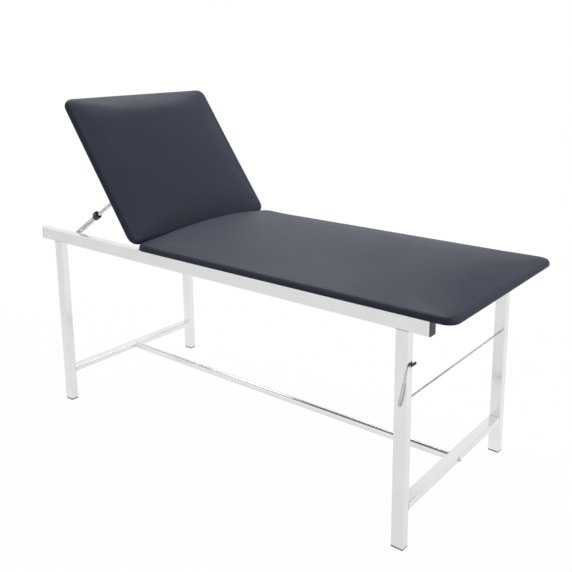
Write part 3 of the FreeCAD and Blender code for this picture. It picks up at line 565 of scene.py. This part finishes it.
def plywood():
    """Birch plywood: long grain along X on its faces and thin layers through its edges."""
    material, tree, surface = start_material("birch_plywood", Roughness=0.62)
    place = object_place(tree)
    pulled = node(tree, "ShaderNodeVectorMath", {0: place, 1: FIBRE},
                  operation="MULTIPLY")
    fibre = node(tree, "ShaderNodeTexNoise", {"Vector": pulled.outputs[0], "Scale": 4.0,
                                              "Detail": 6.0, "Distortion": 0.6})
    tree.links.new(mixed_colour(tree, fibre.outputs[0], BIRCH), surface.inputs["Base Color"])
    bumped(tree, surface, fibre.outputs[0], strength=0.15, distance=0.0004)
    return material


def give(item, material):
    """Let a piece wear one material and no other."""
    item.data.materials.clear()
    item.data.materials.append(material)


def dress_nodes():
    """Dress every piece of the frame in its slot's material, and return the materials."""
    tubes = {axis: chrome("chrome_along_" + axis, [LINES_ALONG if other == axis else LINES_ACROSS
                                                   for other in "xyz"]) for axis in "xyz"}
    dull_tube = plated_steel("small_tube_plating", DULL_PLATING, roughness=0.22)
    by_slot = {
        "bracket_steel": plated_steel("bracket_plating", BRACKET_PLATING, roughness=0.34),
        "zinc_steel": plated_steel("bolt_plating", BOLT_PLATING, roughness=0.26),
        "black_plastic": moulded_plastic("black_moulding", BLACK_MOULDING),
        "grey_plastic": moulded_plastic("grey_moulding", GREY_MOULDING),
        "plywood": plywood(),
        "upholstery": leatherette(),
    }
    for entry in RECORD["subparts"]:
        name = entry["node"]
        item = frame["nodes"][name]
        slot = entry["material_slot"]
        if slot == "chromed_steel" and name in DULL_TUBES:
            give(item, dull_tube)
        elif slot == "chromed_steel":
            low, high = corners(name)
            axis = "xyz"[int(np.argmax(high - low))]
            give(item, tubes[axis])
        else:
            give(item, by_slot[slot])
    return by_slot, tubes


# upholstery on the frame

def seat_cushion(material):
    """The seat's pad, in the place of its solid."""
    low, high = corners("seat_pad")
    length, width = high[0] - low[0], high[1] - low[1]
    piece = pad_mesh("seat_upholstery", length, width, PAD_EDGE, SEAT_CROWN, SEAT_FADES)
    swell(piece)
    placed(piece, ((low[0] + high[0]) / 2, 0, low[2]))
    smooth_more(piece)
    give(piece, material)
    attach(piece, "root")
    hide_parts("seat_pad")


def flat_reach():
    """Ends of the flat backrest along X from the hinge, from its raised solid's points."""
    item = frame["nodes"]["back_pad"]
    points = vertices(item) - HINGE
    c, s = math.cos(BACK_ANGLE), math.sin(BACK_ANGLE)
    along = c * points[:, 0] - s * points[:, 2]
    return along.min(), along.max()


def back_cushion(material):
    """The backrest's pad, built flat in the hinge's frame and raised with it."""
    low, high = corners("back_pad")
    width = high[1] - low[1]
    head_end, hinge_end = flat_reach()
    length = hinge_end - head_end
    piece = pad_mesh("back_upholstery", length, width, PAD_EDGE, BACK_CROWN, BACK_FADES)
    swell(piece)
    placed(piece, ((head_end + hinge_end) / 2, 0, BACK_LIFT))
    placed(piece, HINGE, BACK_ANGLE)
    smooth_more(piece)
    give(piece, material)
    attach(piece, "back")
    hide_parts("back_pad")


# welds

def weld_bead(name, centre, across, size, material):
    """A rippled bead round a tube's end, where it meets another tube.

    The path is a rounded rectangle in the plane across the given axis. The bead's radius is
    r * (1 + depth * sin(k * s)), with s the distance along the path and k one ripple each
    WELD_RIPPLE.
    """
    half_a, half_b = size[0] / 2, size[1] / 2
    turn = np.linspace(0, 2 * math.pi, WELD_POINTS, endpoint=False)
    wide = np.sign(np.cos(turn)) * np.abs(np.cos(turn)) ** WELD_CORNER * half_a
    high = np.sign(np.sin(turn)) * np.abs(np.sin(turn)) ** WELD_CORNER * half_b
    plane = {"x": (1, 2), "y": (0, 2), "z": (0, 1)}[across]
    path = np.zeros((WELD_POINTS, 3))
    path[:, plane[0]], path[:, plane[1]] = wide, high
    step = np.linalg.norm(np.roll(path, -1, axis=0) - path, axis=1)
    walked = np.cumsum(step)
    ripple = WELD_RADIUS * (1 + RIPPLE_DEPTH * np.sin(2 * math.pi * walked / WELD_RIPPLE))
    outward_way = path / np.maximum(np.linalg.norm(path, axis=1, keepdims=True), 1e-9)
    normal = np.zeros(3)
    normal["xyz".index(across)] = 1.0
    angles = np.linspace(0, 2 * math.pi, WELD_SIDES, endpoint=False)
    points = (path[:, None, :] + ripple[:, None, None]
              * (np.cos(angles)[None, :, None] * outward_way[:, None, :]
                 + np.sin(angles)[None, :, None] * normal[None, None, :]))
    piece = mesh_object(name, points + np.asarray(centre),
                        quads(WELD_POINTS, WELD_SIDES, True, True))
    outward(piece)
    give(piece, material)
    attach(piece, "root")


def frame_welds(material):
    """Beads where legs meet rails, crossbars meet legs and cross tubes meet rails."""
    for side in ("near", "far"):
        for end in ("head", "foot"):
            low, high = corners("%s_%s_leg" % (side, end))
            middle = (low + high) / 2
            weld_bead("weld_%s_%s_leg" % (side, end), (middle[0], middle[1], high[2]), "z",
                      (high[0] - low[0], high[1] - low[1]), material)
    for bar in ("head_crossbar", "foot_crossbar", "hinge_cross_tube", "middle_cross_tube",
                "foot_cross_tube"):
        low, high = corners(bar)
        middle = (low + high) / 2
        for side, y in (("near", low[1]), ("far", high[1])):
            weld_bead("weld_%s_%s" % (bar, side), (middle[0], y, middle[2]), "y",
                      (high[0] - low[0], high[2] - low[2]), material)


# light, floor and camera

def floor_material():
    """A pale floor that the camera and mirroring metal see as nearly white.

    Only a faint shadow shows on it, and the light that it scatters stays that of the lamps.
    """
    material, tree, surface = start_material("pale_floor", Roughness=0.9)
    surface.inputs["Base Color"].default_value = (*FLOOR_GREY, 1)
    glow = node(tree, "ShaderNodeEmission", {"Color": (1, 1, 1, 1), "Strength": 1.0})
    path = tree.nodes.new("ShaderNodeLightPath")
    spot = node(tree, "ShaderNodeSeparateXYZ", {0: object_place(tree)})
    mirrored = ramp(tree, spot.outputs["Y"], *FLOOR_TURN, *FLOOR_MIRRORED)
    share = math_node(tree, "MULTIPLY", path.outputs["Is Glossy Ray"], mirrored)
    away = node(tree, "ShaderNodeVectorMath", {0: object_place(tree)}, operation="LENGTH")
    white = ramp(tree, away.outputs["Value"], *FLOOR_FADE, low=FLOOR_WHITE)
    share = math_node(tree, "MULTIPLY_ADD", path.outputs["Is Camera Ray"], white, share)
    blend = node(tree, "ShaderNodeMixShader", {0: share, 1: surface.outputs[0],
                                               2: glow.outputs[0]})
    tree.links.new(blend.outputs[0], tree.nodes["Material Output"].inputs["Surface"])
    return material


def floor():
    """A square floor at Z = 0."""
    points = FLOOR_REACH * np.array([(-1, -1, 0), (1, -1, 0), (1, 1, 0), (-1, 1, 0)], dtype=float)
    piece = mesh_object("floor", points, [(0, 1, 2, 3)], smooth=False)
    give(piece, floor_material())


def lamp(name, place, target, size, power):
    """An area lamp at a place, turned towards a target."""
    light = bpy.data.lights.new(name, "AREA")
    light.shape = "RECTANGLE"
    light.size, light.size_y = size
    light.energy = power
    item = bpy.data.objects.new(name, light)
    SCENE.collection.objects.link(item)
    way = np.asarray(target, dtype=float) - np.asarray(place, dtype=float)
    back = -way / np.linalg.norm(way)
    side = np.cross((0, 0, 1), back)
    side = side / np.linalg.norm(side)
    over = np.cross(back, side)
    item.matrix_world = Matrix([(*row, place[index]) for index, row in
                                enumerate(np.stack([side, over, back], axis=1).tolist())]
                               + [(0, 0, 0, 1)])


def world():
    """Faint even light, white to the camera, and for reflections white with one dark band.

    The band lies between two elevations above the horizon, where only curved metal mirrors
    it, so that it draws the dark lines along round tubes.
    """
    sky = bpy.data.worlds.new("studio")
    SCENE.world = sky
    sky.use_nodes = True
    tree = sky.node_tree
    tree.nodes.clear()
    path = tree.nodes.new("ShaderNodeLightPath")
    way = node(tree, "ShaderNodeSeparateXYZ",
               {0: tree.nodes.new("ShaderNodeTexCoord").outputs["Generated"]})
    risen = [ramp(tree, way.outputs["Z"], *limits, interpolation="SMOOTHSTEP")
             for limits in (BAND_START, BAND_STOP)]
    inside = math_node(tree, "SUBTRACT", *risen)
    mirrored = math_node(tree, "MULTIPLY_ADD", inside, BAND_DARK - MIRRORED, MIRRORED)
    glossy = math_node(tree, "MULTIPLY", path.outputs["Is Glossy Ray"], mirrored)
    seen = math_node(tree, "MAXIMUM", path.outputs["Is Camera Ray"],
                     path.outputs["Is Transmission Ray"])
    faint = math_node(tree, "MULTIPLY", path.outputs["Is Diffuse Ray"], EVEN_LIGHT)
    strength = math_node(tree, "ADD", math_node(tree, "ADD", seen, glossy), faint)
    back = node(tree, "ShaderNodeBackground", {"Color": (1, 1, 1, 1), "Strength": strength})
    out = tree.nodes.new("ShaderNodeOutputWorld")
    tree.links.new(back.outputs[0], out.inputs["Surface"])


def camera():
    """The photograph's camera, with its optical axis shifted to the solved pixel."""
    lens = bpy.data.cameras.new("camera")
    lens.sensor_width = SENSOR
    lens.lens = SENSOR * FOCAL_PIXELS / FRAME_PIXELS
    lens.shift_x = (FRAME_PIXELS / 2 - AXIS_PIXEL[0]) / FRAME_PIXELS
    lens.shift_y = -(FRAME_PIXELS / 2 - AXIS_PIXEL[1]) / FRAME_PIXELS
    lens.clip_end = CLIP_END
    item = bpy.data.objects.new("camera", lens)
    SCENE.collection.objects.link(item)
    turn = (Matrix.Rotation(CAMERA_TURN, 4, "Z")
            @ Matrix.Rotation(math.pi / 2 - CAMERA_DIP, 4, "X")
            @ Matrix.Rotation(CAMERA_ROLL, 4, "Z"))
    item.matrix_world = Matrix.Translation(CAMERA_PLACE) @ turn
    SCENE.camera = item


SCENE.view_settings.view_transform = "Standard"
by_slot, tubes = dress_nodes()
seat_cushion(by_slot["upholstery"])
back_cushion(by_slot["upholstery"])
frame_welds(tubes["y"])
floor()
world()
lamp("back", **BACK_LAMP)
lamp("front", **FRONT_LAMP)
camera()
